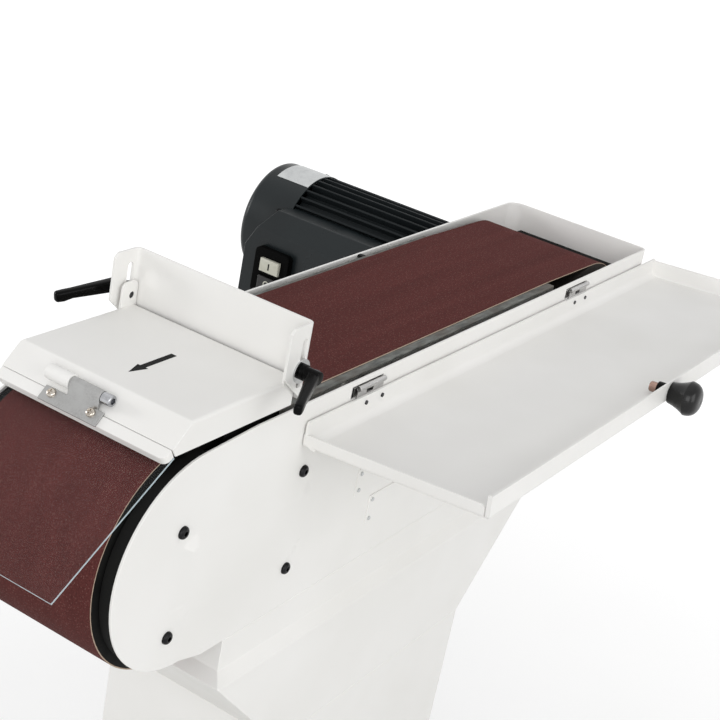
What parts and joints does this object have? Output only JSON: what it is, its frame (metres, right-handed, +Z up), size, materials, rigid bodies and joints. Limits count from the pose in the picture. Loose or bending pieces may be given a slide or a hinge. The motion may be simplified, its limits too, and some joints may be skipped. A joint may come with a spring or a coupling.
{
  "type": "belt sanding machine",
  "caption": "Floor-standing belt sander: horizontal grinding belt over a contact wheel and motor drum, with hinged cover, work stop, wheel guard and eye shield on a sheet-steel stand.",
  "frame": {"origin": "centre of the base plate's underside, on the floor", "axes": "+X along the belt from contact wheel to drive drum, +Y across to the motor, +Z up"},
  "size_m": [1.003, 0.6547, 0.995],
  "materials": {
    "white_paint": "white powder coat, satin",
    "motor_paint": "black-green motor enamel",
    "abrasive": "red-brown aluminium oxide abrasive cloth",
    "graphite": "graphite-coated sliding cloth",
    "steel": "machined steel",
    "zinc_steel": "bright zinc plate",
    "stainless": "rolled stainless sheet",
    "aluminium": "turned aluminium",
    "cast_iron": "raw casting",
    "black_plastic": "black glass-filled plastic",
    "rubber": "black rubber",
    "clear_plastic": "clear polycarbonate sheet",
    "label_metal": "bare silver foil plate",
    "button_white": "ivory button moulding",
    "button_dark": "dark button moulding",
    "black_zinc": "black oxide screws"
  },
  "bodies": {
    "frame": {"base_plate": "white_paint", "column": "white_paint", "hopper": "white_paint", "suction_port": "white_paint", "front_plate": "white_paint", "rear_plate": "white_paint", "end_wall": "white_paint", "bottom_tray": "white_paint", "belt_seals": "rubber", "side_plate_screws": "black_zinc", "name_plates": "white_paint", "name_plate_rivets": "steel", "lid_buffer": "rubber", "platen_pad": "graphite", "platen_plate": "steel", "platen_supports": "steel", "sanding_belt": "abrasive", "guide_rails": "steel", "hood": "white_paint", "clamp_bolts": "zinc_steel", "clamp_washers": "zinc_steel", "hood_brackets": "black_zinc", "shield_barrel": "white_paint", "shield_pin": "zinc_steel", "hinge_leaves": "stainless", "hinge_pins": "stainless", "motor_flange": "motor_paint", "motor_bolts": "steel", "motor_body": "motor_paint", "stator": "steel", "motor_end_shield": "cast_iron", "motor_bearings": "steel", "fan_cowl": "motor_paint", "label_plate": "label_metal", "terminal_box": "motor_paint", "cable_gland": "black_plastic", "switch_housing": "black_plastic"},
    "lid": {"lid_tray": "white_paint", "lid_leaves": "stainless", "lid_rivets": "steel", "lid_knob": "black_plastic", "knob_stud": "black_zinc"},
    "work_stop": {"stop_plate": "white_paint"},
    "front_clamp_lever": {"front_lever": "black_plastic"},
    "rear_clamp_lever": {"rear_lever": "black_plastic"},
    "eye_shield": {"shield_sheet": "clear_plastic", "shield_bar": "white_paint", "shield_hinge_plate": "stainless", "shield_screws": "zinc_steel"},
    "drive_rotor": {"drive_drum": "aluminium", "motor_shaft": "steel", "rotor_core": "steel", "cooling_fan": "black_plastic"},
    "wheel_carriage": {"wheel_axle": "steel", "slide_blocks": "steel"},
    "contact_wheel": {"wheel_hub": "aluminium", "wheel_tread": "rubber", "wheel_bearings": "steel"},
    "start_switch": {"start_button": "button_white"},
    "stop_switch": {"stop_button": "button_dark"}
  },
  "joints": [
    {"name": "lid_hinge", "type": "hinge", "parent": "frame", "child": "lid", "pos_m": [-0.1118, -0.0922, 0.9101], "axis": [-1, 0, 0], "range_deg": [0, 176]},
    {"name": "stop_slide", "type": "slide", "parent": "frame", "child": "work_stop", "axis": [0, 0, 1], "range_m": [-0.0025, 0.01]},
    {"name": "front_clamp", "type": "hinge", "parent": "frame", "child": "front_clamp_lever", "pos_m": [-0.229, -0.103, 0.955], "axis": [0, 1, 0], "range_deg": [0, 100]},
    {"name": "rear_clamp", "type": "hinge", "parent": "frame", "child": "rear_clamp_lever", "pos_m": [-0.229, 0.103, 0.955], "axis": [0, 1, 0], "range_deg": [0, 100]},
    {"name": "shield_hinge", "type": "hinge", "parent": "frame", "child": "eye_shield", "pos_m": [-0.36987, 0.006, 0.93944], "axis": [0, 1, 0], "range_deg": [0, 95]},
    {"name": "drive_spin", "type": "hinge", "parent": "frame", "child": "drive_rotor", "pos_m": [0.3715, 0, 0.829], "axis": [0, -1, 0], "continuous": true},
    {"name": "tension_slide", "type": "slide", "parent": "frame", "child": "wheel_carriage", "axis": [1, 0, 0], "range_m": [0, 0.006]},
    {"name": "wheel_spin", "type": "hinge", "parent": "wheel_carriage", "child": "contact_wheel", "pos_m": [-0.33, 0, 0.819], "axis": [0, -1, 0], "continuous": true},
    {"name": "start_push", "type": "slide", "parent": "frame", "child": "start_switch", "axis": [1, 0, 0], "range_m": [0, 0.0025], "stiffness_N_per_m": 600, "springref_m": -0.001},
    {"name": "stop_push", "type": "slide", "parent": "frame", "child": "stop_switch", "axis": [1, 0, 0], "range_m": [0, 0.0025], "stiffness_N_per_m": 600, "springref_m": -0.001}
  ],
  "couplings": [
    {"joint": "wheel_spin", "follows": "drive_spin", "ratio": 0.87}
  ]
}
